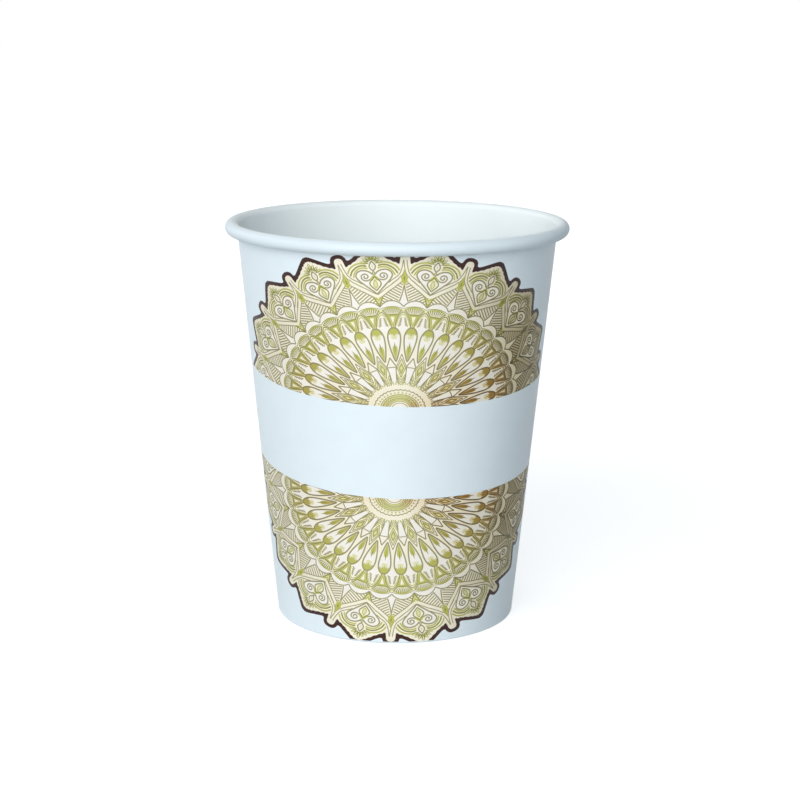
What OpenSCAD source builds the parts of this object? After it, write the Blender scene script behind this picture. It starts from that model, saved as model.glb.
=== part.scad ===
// Paper dessert cup, in millimetres. A fan of board is wrapped into a cone and lapped up one side.
// Its top edge is rolled outwards, and its bottom edge is folded inwards into a hem.
// The hem holds the turned-down skirt of a round disc, which is the bottom of the cup.
// +Z is up, the origin is the centre of the standing edge, and the front of the cup looks along -Y.

/* [Cup] */
// Height over the rolled rim
cup_h = 94; // [80:1:120]
// Outer diameter of the rolled rim
rim_d = 80; // [76:0.5:90]
// Outer diameter of the wall where it stands
base_d = 56.4; // [50:0.2:62]

/* [Board] */
// Thickness of the side wall's board
board = 0.35; // [0.25:0.05:0.5]
// Thickness of the base disc's board
disc_board = 0.3; // [0.2:0.05:0.5]
// Clearance between two layers that are sealed together
seal = 0.02; // [0.01:0.01:0.05]

/* [Rim] */
// Outer diameter of the roll's section
roll_d = 3.1; // [2.6:0.1:4]
// Clearance between the roll's cut edge and the doubled board of the seam
roll_gap = 0.1; // [0.05:0.05:0.3]

/* [Base] */
// Length of the folded hem, up the inside of the wall
hem_h = 6; // [4.5:0.5:7]
// Height of the disc's underside above the table
recess = 7.5; // [7.5:0.5:12]
// Outside radius of the bend between the disc and its skirt
disc_bend = 0.8; // [0.6:0.1:1.2]
// Clearance between the skirt's lower edge and the inside of the fold
skirt_gap = 0.3; // [0.1:0.1:1]
// How much of the fold is pressed flat where the cup stands
foot_press = 0.05; // [0.02:0.01:0.1]

/* [Seam] */
// Direction of the seam round the cup, in degrees from +X towards +Y
seam_at = 170; // [0:5:355]
// Width of the overlap at mid height
lap_w = 6.5; // [4:0.5:10]
// Run over which the outer layer climbs on to the inner one
ramp_w = 2; // [1.2:0.1:4]
// Width of the line that the inner layer's cut edge leaves over the rim
groove_w = 0.25; // [0.15:0.05:0.5]

/* [Hidden] */
$fn = 144;
// Largest turn between two points of a bend, in degrees, which divides a right angle
arc_step = 10;
paper_white = "#eef3f6";
inside_white = "#e6edf1";

base_r = base_d / 2;
roll_r = roll_d / 2;
// Centre of the roll's section
roll_x = rim_d / 2 - roll_r;
roll_z = cup_h - roll_r;
roll_c = [roll_x, roll_z];
// The wall's outer face passes the roll's centre at the roll's inner radius,
// so its inner face runs on without a break into the outside of the roll.
roll_run = roll_x - base_r;
lean = acos((roll_r - board) / norm([roll_run, roll_z])) - atan2(roll_z, roll_run);
// The roll turns until its cut edge is roll_gap short of the doubled wall.
roll_turn = 360 - acos((roll_r - 2 * board - roll_gap) / roll_r);
// Inner radius of the bottom fold, which wraps the skirt's thickness
fold_in = disc_board / 2 + seal;
fold_r = fold_in + board;
fold_z = fold_r - foot_press;
// Distances up the wall's slant from the table
s_fold = (fold_z - fold_r * sin(lean)) / cos(lean);
s_roll = roll_run * sin(lean) + roll_z * cos(lean);
s_skirt = s_fold + skirt_gap;
bend_z = recess + disc_board - disc_bend;
s_bend = (bend_z - (seal + disc_bend + board) * sin(lean)) / cos(lean);
// Directions of the wall's two normals in the section
out_dir = -lean;
in_dir = 180 - lean;
// Angles round the cup of the overlap, of the ramp beside it and of the rim's line
mid_r = (base_r + roll_x) / 2;
lap_a = arc_angle(lap_w, mid_r);
lap_from = seam_at - lap_a / 2;
ramp_a = arc_angle(2 * ramp_w, base_r);
ramp_slope = atan(board / ramp_w + ramp_w / (2 * mid_r));
groove_a = arc_angle(groove_w, roll_x);
// Depth of the rim's line, a little less than the hollow's depth beside the cut edge
groove_depth = 0.8 * board;
// Length by which that hollow runs on into the fold and the roll
run_out = 0.1;

// Angle in degrees of an arc of this length on this radius
function arc_angle(length, radius) = length / radius * 180 / PI;

function reversed(points) = [for (i = [len(points) - 1 : -1 : 0]) points[i]];

// A point of the section: s up the slant, and d outwards from the wall's inner face
function wall_point(s, d) = [
    base_r + s * sin(lean) + (d - board) * cos(lean),
    s * cos(lean) - (d - board) * sin(lean)
];

// Points of a bend about a centre, between two directions. Those between its ends lie on
// whole steps, so that a full bend has its true height and width.
function bend_points(centre, radius, from, to) =
    let (step = sign(to - from) * arc_step)
    let (first = (floor(from / step) + 1) * step)
    [
        for (a = [from, for (b = [first : step : to - step / 100]) b, to])
            centre + radius * [cos(a), sin(a)]
    ];

// The sheet's section, followed at depth d from its unprinted face. That face is the inside
// of the cup, the outside of the roll and the side of the hem that meets the skirt.
function hem_top(d) = wall_point(hem_h, -2 * fold_in - d);

function fold_points(d) = [
    for (p = bend_points(wall_point(s_fold, -fold_in), fold_in + d, in_dir, in_dir + 180))
        [p.x, max(p.y, 0)]
];

function roll_points(d) = bend_points(roll_c, roll_r - d, in_dir, in_dir - roll_turn);

function sheet_path(d) = concat([hem_top(d)], fold_points(d), roll_points(d));

module band(path_1, path_2) {
    polygon(concat(path_1, reversed(path_2)));
}

module sheet_section(d1, d2) {
    band(sheet_path(d1), sheet_path(d2));
}

// The wall's straight part between two depths, with run_out added at both ends
module wall_section(d1, d2) {
    low = s_fold - run_out;
    high = s_roll + run_out;
    band(
        [wall_point(low, d1), wall_point(high, d1)],
        [wall_point(low, d2), wall_point(high, d2)]
    );
}

module roll_section(d1, d2) {
    s_start = s_roll - roll_r;
    band(
        concat([wall_point(s_start, d1)], roll_points(d1)),
        concat([wall_point(s_start, d2)], roll_points(d2))
    );
}

// A plane along the inner layer's cut edge. It meets the wall's face at depth d there,
// and sinks by one thickness of board over ramp_w. Children stand on it, in its own axes.
module at_ramp(d) {
    rotate([0, 0, lap_from])
        translate([base_r + (d - board) / cos(lean), 0, 0])
            rotate([0, lean, 0])
                rotate([0, 0, -ramp_slope])
                    children();
}

// The second layer of board over the seam. It starts inside the first one, and a slanting
// cut leaves the ramp where the outer layer comes down beside the inner one.
module lap_layer() {
    far = rim_d / 4;
    difference() {
        rotate_extrude(start = lap_from - ramp_a, angle = lap_a + ramp_a)
            sheet_section(board / 2, 2 * board);
        at_ramp(2 * board)
            translate([0, -far, -far])
                cube([far, 2 * far, far + s_roll - roll_r]);
    }
}

// The wedge left inside the cup beside the inner layer's cut edge, and its line over the rim
module lap_groove() {
    far = rim_d / 4;
    intersection() {
        rotate_extrude(start = lap_from - ramp_a, angle = ramp_a)
            wall_section(-seal / 2, 1.5 * board);
        at_ramp(board)
            translate([-far, -far, -far])
                cube([far, 2 * far, cup_h + 2 * far]);
    }
    rotate_extrude(start = lap_from - groove_a, angle = groove_a)
        roll_section(-board, groove_depth);
}

module side_wall() {
    color(paper_white)
        difference() {
            union() {
                rotate_extrude()
                    sheet_section(0, board);
                lap_layer();
            }
            lap_groove();
        }
}

// The disc's section, followed at height d over its underside
function disc_path(d) = concat(
    [[0, recess + d]],
    bend_points(wall_point(s_bend, -seal - disc_bend), disc_bend - disc_board + d, 90, out_dir),
    [wall_point(s_skirt, -seal - disc_board + d)]
);

module base_disc() {
    color(inside_white)
        rotate_extrude()
            band(disc_path(0), disc_path(disc_board));
}

side_wall();
base_disc();
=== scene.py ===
# %% [markdown]
# A printed paper dessert cup
#
# The cup is two pieces of board. The side wall is a fan-shaped sheet, printed flat, wrapped into
# a cone and lapped up one side. Its top edge is rolled outwards and its bottom edge is folded
# inwards. A round disc with a turned-down skirt closes the bottom.
#
# The lesson's idea is to work as the factory does. The ornament is drawn flat, in millimetres,
# and the flat sheet is then wrapped. So the print is real geometry: each triangle of the wall
# belongs to one ink, and its edges stay sharp from any distance.

import math

import bpy
from mathutils import Euler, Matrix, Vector
from mathutils.bvhtree import BVHTree
from mathutils.geometry import delaunay_2d_cdt


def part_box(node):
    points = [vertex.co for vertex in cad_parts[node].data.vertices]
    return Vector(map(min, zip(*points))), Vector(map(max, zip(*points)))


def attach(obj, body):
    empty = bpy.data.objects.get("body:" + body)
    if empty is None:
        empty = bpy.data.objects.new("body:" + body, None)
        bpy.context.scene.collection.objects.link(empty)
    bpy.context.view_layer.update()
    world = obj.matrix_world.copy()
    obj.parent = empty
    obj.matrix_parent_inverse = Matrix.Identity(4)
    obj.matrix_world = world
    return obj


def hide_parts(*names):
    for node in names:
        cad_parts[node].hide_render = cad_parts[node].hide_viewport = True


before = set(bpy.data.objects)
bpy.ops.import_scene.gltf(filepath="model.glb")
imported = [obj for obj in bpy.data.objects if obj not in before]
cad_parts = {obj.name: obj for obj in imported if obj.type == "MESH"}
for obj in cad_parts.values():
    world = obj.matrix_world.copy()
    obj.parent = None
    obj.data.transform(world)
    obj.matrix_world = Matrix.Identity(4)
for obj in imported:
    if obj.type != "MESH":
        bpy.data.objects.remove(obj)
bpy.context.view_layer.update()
MM = 0.001
print("nodes:", sorted(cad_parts))

# %% [markdown]
# Sizes
#
# The overall height and the rim's diameter are read from the model. The other lengths are the
# same driving sizes as the model's, in millimetres, and every other place is worked out from
# them.

# %% Sizes of the cup, in millimetres
wall_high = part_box("side_wall")[1]
cup_h = wall_high.z / MM
rim_r = wall_high.x / MM
base_r = 56.4 / 2
board = 0.35
disc_board = 0.3
seal = 0.02
roll_r = 3.1 / 2
roll_gap = 0.1
hem_h = 6.0
foot_press = 0.05
lap_w = 6.5
ramp_w = 2.0
groove_w = 0.25
print(f"cup {cup_h:.1f} mm high, {2 * rim_r:.1f} mm across the rim")

# %% [markdown]
# Camera
#
# The photograph looks slightly down on the cup from less than half a metre, so the mouth shows
# as a narrow ellipse. The lens and the place were worked out from the ellipses of the rim and
# the base. The camera leans a third of a degree, as the photograph does.

# %% Make the camera
camera_data = bpy.data.cameras.new("photo_camera")
camera_data.lens = 89.1
camera_data.sensor_width = 36
camera = bpy.data.objects.new("photo_camera", camera_data)
camera.location = (0.00088, -0.4587, 0.1532)
look_down = math.radians(12.57)
camera_roll = math.radians(0.35)
tilted = Euler((math.pi / 2 - look_down, 0, 0)).to_matrix()
camera.rotation_euler = (tilted @ Euler((0, 0, camera_roll)).to_matrix()).to_euler()
bpy.context.scene.collection.objects.link(camera)
bpy.context.scene.camera = camera
print("camera at", tuple(round(value, 4) for value in camera.location))

# %% [markdown]
# Colour and nodes
#
# Colours are written as they look on a screen, in sRGB hex, and one function turns them to the
# linear values that Blender works with. One more function adds a node with its settings and
# links, so that a material reads as a short list.

# %% Colour and node helpers
def linear(hex_colour):
    """Linear RGBA of an sRGB hex colour such as #EEF3F6."""
    channels = [int(hex_colour[i:i + 2], 16) / 255 for i in (1, 3, 5)]
    return tuple(c / 12.92 if c <= 0.04045 else ((c + 0.055) / 1.055) ** 2.4 for c in channels) + (1,)


def add_node(tree, kind, settings=None, **links):
    """Adds a node. Settings are its own properties, and links are values or sockets for its
    inputs, which are given by name, or by number as _0."""
    node = tree.nodes.new(kind)
    for name, value in (settings or {}).items():
        setattr(node, name, value)
    for name, value in links.items():
        socket = node.inputs[int(name[1:])] if name[0] == "_" else node.inputs[name.replace("_", " ")]
        if isinstance(value, bpy.types.NodeSocket):
            tree.links.new(value, socket)
        else:
            socket.default_value = value
    return node


def new_material(name):
    """An empty material and its output node."""
    material = bpy.data.materials.new(name)
    material.use_nodes = True
    material.node_tree.nodes.clear()
    return material, material.node_tree.nodes.new("ShaderNodeOutputMaterial")


# %% [markdown]
# Board and inks
#
# Cup board is bleached paperboard of about 300 g a square metre. Both faces carry a thin film of
# polyethylene, which keeps the water out and gives the cup its soft, slightly waxy shine. Under
# the film the fibres still show as a faint cloudiness and an uneven surface. The inks are
# printed on the board by offset and lie under the same shine, so one function makes the board
# and every ink on it, and only the colour and the gloss differ.
#
# Single fibres are about 0.03 mm wide, too fine to show here, so the fibre pattern is drawn as
# coarse as small bundles, about 0.25 mm.

# %% One recipe for the board and its inks
FIBRE_MM = 0.25
CLOUD_MM = 6.0
FILM_IOR = 1.51
INK_IOR = 1.36


def paperboard(name, colours, cloud=0.02, roughness=0.45, fibre_bump=0.12, ior=FILM_IOR):
    """Film-coated board, or an ink on it. An ink of three colours has the first one at the top and the
    bottom of the ornament, and the others at its sides, in the rings and in the lobes. Those side colours
    are darker partly by the print's own tone and partly as painted shade, which the right side gets in
    full. On the unprinted face the first colour is lighter as painted light, and the second is painted
    shade over the roll."""
    material, output = new_material(name)
    tree = material.node_tree
    sheet = add_node(tree, "ShaderNodeUVMap", {"uv_map": "blank"})
    fibre = add_node(tree, "ShaderNodeTexNoise", Vector=sheet.outputs[0],
                     Scale=1 / FIBRE_MM, Detail=3.0, Roughness=0.6)
    clouds = add_node(tree, "ShaderNodeTexNoise", Vector=sheet.outputs[0],
                      Scale=1 / CLOUD_MM, Detail=4.0, Roughness=0.55)
    if len(colours) == 3:
        outwards = add_node(tree, "ShaderNodeAttribute", {"attribute_name": "outwards"})
        side = add_node(tree, "ShaderNodeMix", {"data_type": "RGBA"}, _0=outwards.outputs["Fac"],
                        _6=linear(colours[1]), _7=linear(colours[2]))
        sideways = add_node(tree, "ShaderNodeAttribute", {"attribute_name": "band_tone_and_shade"})
        ink = add_node(tree, "ShaderNodeMix", {"data_type": "RGBA"}, _0=sideways.outputs["Fac"],
                       _6=linear(colours[0]), _7=side.outputs[2]).outputs[2]
    else:
        ink = linear(colours[0])
    mottle = add_node(tree, "ShaderNodeMix", {"data_type": "FLOAT"},
                      _0=0.35, _2=clouds.outputs["Fac"], _3=fibre.outputs["Fac"])
    shade = add_node(tree, "ShaderNodeMapRange", Value=mottle.outputs[0],
                     From_Min=0.3, From_Max=0.7, To_Min=1 - cloud, To_Max=1 + cloud)
    colour = add_node(tree, "ShaderNodeVectorMath", {"operation": "MULTIPLY"},
                      _0=ink if not isinstance(ink, tuple) else ink[:3], _1=shade.outputs[0])
    gloss = add_node(tree, "ShaderNodeMapRange", Value=clouds.outputs["Fac"],
                     From_Min=0.3, From_Max=0.7, To_Min=roughness - 0.05, To_Max=roughness + 0.05)
    bump = add_node(tree, "ShaderNodeBump", Height=fibre.outputs["Fac"],
                    Strength=fibre_bump, Distance=0.02 * MM)
    skin = add_node(tree, "ShaderNodeBsdfPrincipled", Base_Color=colour.outputs[0],
                    Roughness=gloss.outputs[0], IOR=ior, Normal=bump.outputs[0])
    tree.links.new(skin.outputs[0], output.inputs["Surface"])
    return material


# %% [markdown]
# The ornament has seven inks: a warm cream ground, clean white, three golds, a grey olive for thin lines
# and the brown of the outline. The golds are olive at the top and the bottom of the ornament. Where it
# meets the bare band they turn to a golden brown in the rings and to a dark olive in the lobes, and the
# other inks darken there too. This darkening is partly the print's own tone and partly painted shade: the
# right side, away from the key lamp, gets all of it and the left side less. The inks are a little less
# glossy than the bare board, so their IOR is lower.
#
# The unprinted face is a cool white inside the cup, lighter than the printed board as painted light, and a
# little greyer where it runs out over the roll as painted shade, so it has its second colour there. The
# cut edges are matte and rough.

# %% Make the materials of the wall
INKS = {
    "board": paperboard("bleached_board_film_coated", ["#E6F0F6"]),
    # Each ink's second and third colours are darker partly as the print's tone and partly as painted shade
    # on the right side
    "brown": paperboard("offset_ink_brown", ["#32130A", "#241818", "#241818"], cloud=0.1, ior=INK_IOR),
    "cream": paperboard("offset_ink_cream", ["#F6EEDA", "#EADBBC", "#B2A073"], ior=INK_IOR),
    "white": paperboard("offset_ink_white", ["#F6F0E8", "#EDE5D6", "#DED0AC"], ior=INK_IOR),
    "pale": paperboard("offset_ink_pale_gold", ["#E2DEB0", "#D6C187", "#A89A62"], ior=INK_IOR),
    "gold": paperboard("offset_ink_gold", ["#BDBC60", "#926C24", "#5A5018"], cloud=0.06, ior=INK_IOR),
    "deep": paperboard("offset_ink_deep_gold", ["#8F8E3E", "#664912", "#3E3510"], cloud=0.06, ior=INK_IOR),
    "line": paperboard("offset_ink_fine_line", ["#9A9368", "#5F4C26", "#3A3218"], cloud=0.05, ior=INK_IOR),
    # The unprinted face: lighter than the board as painted light, and greyer over the roll as painted
    # shade
    "film": paperboard("inside_board_painted_light_and_shade", ["#F7FCFD", "#DEE9EF", "#DEE9EF"], roughness=0.55),
    "edge": paperboard("board_cut_edge", ["#EFEDE6"], roughness=0.8, fibre_bump=0.5),
}
INK_ORDER = list(INKS)
print(len(INKS), "materials for the wall")

# %% [markdown]
# The wall's section
#
# Every layer of the sheet runs along one path: down the hem inside the cup, round the fold that
# the cup stands on, up the wall and round the roll of the rim. A station is a point of that path
# on the unprinted face, with the direction in which the board's thickness lies. The printed face
# is the same path at the depth of one thickness, or of two where the seam is lapped.

# %% Work out the section's fixed points
roll_x = rim_r - roll_r
roll_z = cup_h - roll_r
roll_run = roll_x - base_r
lean = math.acos((roll_r - board) / math.hypot(roll_run, roll_z)) - math.atan2(roll_z, roll_run)
fold_in = disc_board / 2 + seal
fold_r = fold_in + board
fold_z = fold_r - foot_press
s_fold = (fold_z - fold_r * math.sin(lean)) / math.cos(lean)
s_roll = roll_run * math.sin(lean) + roll_z * math.cos(lean)
roll_turn = 2 * math.pi - math.acos((roll_r - 2 * board - roll_gap) / roll_r)
in_dir = math.pi - lean
wall_out = (math.cos(lean), -math.sin(lean))
print(f"the wall leans {math.degrees(lean):.3f} degrees, its slant is {s_roll:.2f} mm")


def wall_point(s, depth):
    """Radius and height at s up the slant, and depth outwards from the unprinted face."""
    return (base_r + s * math.sin(lean) + (depth - board) * math.cos(lean),
            s * math.cos(lean) - (depth - board) * math.sin(lean))


def bend(centre, radius, start, turn, step, outwards):
    """Stations round a bend. The board lies outwards from its radius, or inwards."""
    count = math.ceil(abs(turn) / math.radians(step))
    for i in range(count + 1):
        a = start + turn * i / count
        across = (math.cos(a), math.sin(a))
        point = (centre[0] + radius * across[0], centre[1] + radius * across[1])
        yield point, across if outwards else (-across[0], -across[1])


def straight(s_start, s_end, count, depth, direction):
    """Stations along the slant at one depth."""
    for i in range(count + 1):
        yield wall_point(s_start + (s_end - s_start) * i / count, depth), direction


HEM = list(straight(hem_h, s_fold, 1, -2 * fold_in, (-wall_out[0], -wall_out[1])))
FOLD = list(bend(wall_point(s_fold, -fold_in), fold_in, in_dir, math.pi, 10, True))
WALL = list(straight(s_fold, s_roll, 4, 0, wall_out))
ROLL = list(bend((roll_x, roll_z), roll_r, in_dir, -roll_turn, 8, False))
print(len(HEM + FOLD + WALL + ROLL), "stations along the section")

# %% [markdown]
# Round the cup
#
# Angles round the cup are measured from the front, positive towards the right. The seam is on
# the left, just out of the photograph's sight. The inner layer's cut edge lies at one side of
# the overlap and the outer layer's at the other, and between them the printed face stands one
# thickness higher. Beside the inner edge the outer layer climbs over it on a short ramp.

# %% Columns round the cup and the two faces' depths
mid_r = (base_r + roll_x) / 2
lap_a = lap_w / mid_r
seam_at = math.radians(260)
inner_edge = seam_at - lap_a / 2
outer_edge = seam_at + lap_a / 2
ramp_a = ramp_w / mid_r
groove_a = groove_w / roll_x
FULL_TURN = 2 * math.pi
COLUMN_STEP = math.radians(2.5)


def column_angles():
    """Angles from the outer cut edge all the way round to it, with the seam's own lines."""
    start = outer_edge - FULL_TURN
    lines = [start, inner_edge - ramp_a, inner_edge - groove_a, inner_edge, outer_edge]
    first, last = math.ceil(start / COLUMN_STEP), math.floor(outer_edge / COLUMN_STEP)
    even = [COLUMN_STEP * i for i in range(first, last + 1)]
    clear = [a for a in even if min(abs(a - line) for line in lines) > COLUMN_STEP / 5]
    return sorted(lines + clear)


def printed_depth(angle):
    """Depth of the printed face: one board, two over the lap, and a ramp between them."""
    if angle > inner_edge - 1e-9:
        return 2 * board
    return board + board * max(0.0, 1 - (inner_edge - angle) / ramp_a)


def unprinted_depth(angle, run):
    """Depth of the unprinted face, which climbs over the inner cut edge within the run."""
    if angle > inner_edge + 1e-9:
        return 0.0
    return board * max(0.0, 1 - (inner_edge - angle) / run)


COLUMNS = column_angles()
LAST = len(COLUMNS) - 1
EDGE = COLUMNS.index(inner_edge)
print(len(COLUMNS), "columns round the cup")

# %% [markdown]
# The flat sheet
#
# A cone unrolls to a fan without any stretch. On the flat sheet, X runs to the right and Y runs
# up the middle of the front from the table, both in millimetres. Two functions go from the cup
# to the sheet and back.

# %% From the cup to the flat sheet and back
apex = base_r / math.sin(lean)


def to_sheet(angle, s):
    """The flat sheet's point of an angle round the cup and a distance up the slant."""
    turn = angle * math.sin(lean)
    return (apex + s) * math.sin(turn), (apex + s) * math.cos(turn) - apex


def from_sheet(x, y):
    """Angle round the cup and distance up the slant of a point of the flat sheet."""
    return math.atan2(x, y + apex) / math.sin(lean), math.hypot(x, y + apex) - apex


# %% [markdown]
# How the ornament is laid out
#
# The print is a round medallion of a traditional kind, cut in two by a bare band. Each half has
# its own centre just inside the band, and the same motif is repeated round it every 20 degrees.
# Each half is a fifth lower than a true half circle. Everything sits about a degree and a half
# out of level, as sheets are never fed quite straight.
#
# So a motif is drawn once, in degrees from its own axis and millimetres from the half's centre,
# and stamped all the way round. The order of stamping is the order of printing: what comes
# later lies on top.

# %% Place the two halves on the sheet
HALVES = {
    "upper": {"centre": (0.86, 56.60), "up": 1, "squash": 0.80, "turn": math.radians(1.63)},
    "lower": {"centre": (-0.28, 36.08), "up": -1, "squash": 0.81, "turn": math.radians(1.06)},
}
BAND_MIDDLE_Y = 46.32
BAND_HALF_W = 10.82
BAND_TURN = math.radians(1.55)
FIELD_REACH = 80
LOBE_STEP = 20
shapes = []


def turned(x, y, turn):
    """A point turned clockwise about the origin."""
    return x * math.cos(turn) + y * math.sin(turn), y * math.cos(turn) - x * math.sin(turn)


def on_page(half, degrees, r):
    """The sheet's point of a motif's point."""
    place = HALVES[half]
    a = math.radians(degrees)
    x, y = turned(r * math.sin(a), place["up"] * place["squash"] * r * math.cos(a), place["turn"])
    return place["centre"][0] + x, place["centre"][1] + y


def field(half):
    """The part of the sheet that a half may print on, from the band outwards."""
    up = HALVES[half]["up"]
    near, far = up * BAND_HALF_W, up * FIELD_REACH
    corners = [(-far, near), (far, near), (far, far), (-far, far)]
    return [(x, y + BAND_MIDDLE_Y) for x, y in (turned(x, y, BAND_TURN) for x, y in corners)]


# %% [markdown]
# Four small tools draw every motif: a smooth line through a few points, a closed outline given
# by its right half, a filled area and a stroke of even width. A stroke is a chain of
# quadrilaterals, because the triangulation needs outlines that never cross themselves. Where a
# bend is so tight that one of them would, two triangles take its place.

# %% Drawing tools
# What is smaller than these, in millimetres and square millimetres, is not drawn
SHORTEST_SIDE = 0.004
LEAST_AREA = 5e-5


def smooth(points, steps=4):
    """A smooth line through the points, a Catmull-Rom spline."""
    line = []
    for i in range(len(points) - 1):
        p0, p1 = points[max(i - 1, 0)], points[i]
        p2, p3 = points[i + 1], points[min(i + 2, len(points) - 1)]
        for k in range(steps):
            u = k / steps
            line.append(tuple(
                0.5 * (2 * b + (c - a) * u + (2 * a - 5 * b + 4 * c - d) * u * u
                       + (3 * b - a - 3 * c + d) * u ** 3)
                for a, b, c, d in zip(p0, p1, p2, p3)))
    return line + [points[-1]]


def both_sides(right_half):
    """A closed outline from its right half, mirrored across the motif's axis."""
    return right_half + [(-t, r) for t, r in reversed(right_half) if abs(t) > 1e-9]


def signed_area(corners):
    """Area of an outline that doesn't cross itself, positive if it is turned anticlockwise."""
    return sum(p[0] * q[1] - q[0] * p[1] for p, q in zip(corners, corners[1:] + corners[:1])) / 2


def paint(half, ink, corners):
    """Adds one filled outline in the sheet's millimetres, turned anticlockwise."""
    kept = [p for i, p in enumerate(corners) if math.dist(p, corners[i - 1]) > SHORTEST_SIDE]
    area = signed_area(kept)
    if len(kept) > 2 and abs(area) > LEAST_AREA:
        shapes.append((half, ink, kept if area > 0 else kept[::-1]))


def turns_left(a, b, c):
    """Whether the way from a over b to c turns left."""
    return (b[0] - a[0]) * (c[1] - b[1]) > (b[1] - a[1]) * (c[0] - b[0])


def stroke(half, ink, line, width):
    """Adds a chain of quadrilaterals along a line, all in the sheet's millimetres."""
    sides = []
    for i, (x, y) in enumerate(line):
        before, after = line[max(i - 1, 0)], line[min(i + 1, len(line) - 1)]
        dx, dy = after[0] - before[0], after[1] - before[1]
        size = math.hypot(dx, dy) or 1
        half_w = width / 2
        sides.append(((x - dy / size * half_w, y + dx / size * half_w),
                      (x + dy / size * half_w, y - dx / size * half_w)))
    for (a, b), (c, d) in zip(sides, sides[1:]):
        if turns_left(a, b, d) == turns_left(a, d, c):
            paint(half, ink, [a, b, d, c])
        else:
            paint(half, ink, [a, b, d])
            paint(half, ink, [a, d, c])


# %% [markdown]
# The stamp goes a little past both ends of each half, and leaves out what lies well inside the
# bare band, because nothing of it would show.

# %% The stamp
STAMP_REACH = 100
HIDDEN_DEPTH = 2


def stamp(motif, first, step, mirror=False):
    """Repeats a motif's shapes round both halves. A shape is an ink, its points and a width or None."""
    for half in HALVES:
        lowest = math.floor((-STAMP_REACH - first) / step)
        highest = math.ceil((STAMP_REACH - first) / step)
        for k in range(lowest, highest + 1):
            axis = first + k * step
            for side in (1, -1) if mirror else (1,):
                for ink, points, width in motif:
                    page = [on_page(half, axis + side * t, r) for t, r in points]
                    up = HALVES[half]["up"]
                    if all(up * (y - BAND_MIDDLE_Y) < BAND_HALF_W - HIDDEN_DEPTH for x, y in page):
                        continue
                    if width is None:
                        paint(half, ink, page)
                    else:
                        stroke(half, ink, page, width)


# %% [markdown]
# The outline
#
# A brown line, about a millimetre wide, runs round the whole ornament. It climbs over a blunt
# lobe and a round knob by turns. It is drawn as two silhouettes, brown and then cream, the
# second one inside the first, with small scallops along the lobes.

# %% The brown outline and the cream ground
OUTER_LOBE = smooth([(0, 46.25), (0.7, 46.2), (1.4, 45.9), (2.5, 45.25), (4, 44.35), (5.6, 43.45),
                     (6.7, 43.0), (7.35, 43.1)])
OUTER_KNOB = smooth([(7.35, 43.1), (7.75, 44.0), (8.6, 44.7), (10, 44.95)])
INNER_EDGE = smooth([(0, 45.05), (0.6, 45.0), (1.3, 44.7), (2.4, 44.1), (3.8, 43.25), (5.6, 42.3),
                     (7.2, 41.7), (8.35, 41.3)])
RIPPLE = 0.2
INNER_LOBE = [(t, r - RIPPLE * math.sin(i * math.pi / 4) ** 2) for i, (t, r) in enumerate(INNER_EDGE)]
INNER_KNOB = smooth([(8.35, 41.3), (8.5, 42.2), (8.65, 43.15), (9.2, 43.75), (10, 43.9)])
LOBES_EACH_SIDE = 5


def silhouette(ink, lobe, knob):
    """One outline round each half, from a lobe's right half and the knob beside it."""
    right = lobe + knob[1:]
    left = [(-t, r) for t, r in reversed(right)]
    for half in HALVES:
        page = []
        for k in range(-LOBES_EACH_SIDE, LOBES_EACH_SIDE):
            axis = LOBE_STEP * k + LOBE_STEP / 2
            page += [on_page(half, axis + t, r) for t, r in left + right[1:]]
        paint(half, ink, page)


silhouette("brown", OUTER_LOBE, OUTER_KNOB)
silhouette("cream", INNER_LOBE, INNER_KNOB)
print(len(shapes), "silhouettes")

# %% [markdown]
# The lobes
#
# Each lobe holds a heart of two scrolls under arched gold lines, with a drop and a sprig of
# leaves above it. The scrolls are spirals, so they are written as a formula.

# %% The arched lines, the heart and its scrolls
LOBE_AXIS = LOBE_STEP / 2
HAIR_W = 0.28
POINTS_A_TURN = 16
# Below 1, a scroll tightens faster at its outer end
TIGHTENING = 0.85


def scroll(t, r, start, turns, outer_r, inner_r):
    """A spiral about a point, from its outer end inwards. Start is in degrees, anticlockwise."""
    mm_per_degree = math.radians(r)
    count = int(turns * POINTS_A_TURN)
    line = []
    for i in range(count + 1):
        share = i / count
        a = math.radians(start) + FULL_TURN * turns * share
        size = outer_r + (inner_r - outer_r) * share ** TIGHTENING
        line.append((t + size * math.cos(a) / mm_per_degree, r + size * math.sin(a)))
    return line


ARCHES = [smooth([(1.9, 41.5), (3.0, 41.75), (4.5, 41.7), (6.0, 41.3), (7.3, 40.6), (8.4, 39.4)]),
          smooth([(1.8, 40.85), (3.0, 41.1), (4.4, 41.0), (5.7, 40.5), (6.9, 39.7), (7.8, 38.6)]),
          smooth([(1.6, 40.2), (2.8, 40.45), (4.2, 40.4), (5.4, 39.9), (6.3, 39.1), (6.9, 38.1)])]
HEART_SIDE = smooth([(0, 33.0), (1.5, 34.05), (3.1, 35.2), (4.7, 36.45), (5.7, 37.5), (6.0, 38.4),
                     (5.4, 39.25), (4.2, 39.75), (2.7, 39.7), (1.3, 39.2), (0.45, 38.5)])
stamp([(ink, arch, 0.36) for ink, arch in zip(("gold", "deep", "gold"), ARCHES)],
      LOBE_AXIS, LOBE_STEP, mirror=True)
stamp([("white", both_sides(HEART_SIDE + [(0, 38.2)]), None)], LOBE_AXIS, LOBE_STEP)
stamp([("line", HEART_SIDE, 0.32),
       ("line", scroll(2.95, 38.0, -140, 1.6, 1.25, 0.2), 0.3)],
      LOBE_AXIS, LOBE_STEP, mirror=True)
print(len(shapes), "shapes so far")

# %% [markdown]
# A bud stands between the two scrolls, and a drop hangs over them. The leaves of the sprig all
# have one form, so a function makes a leaf from its two ends and its width.

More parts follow.
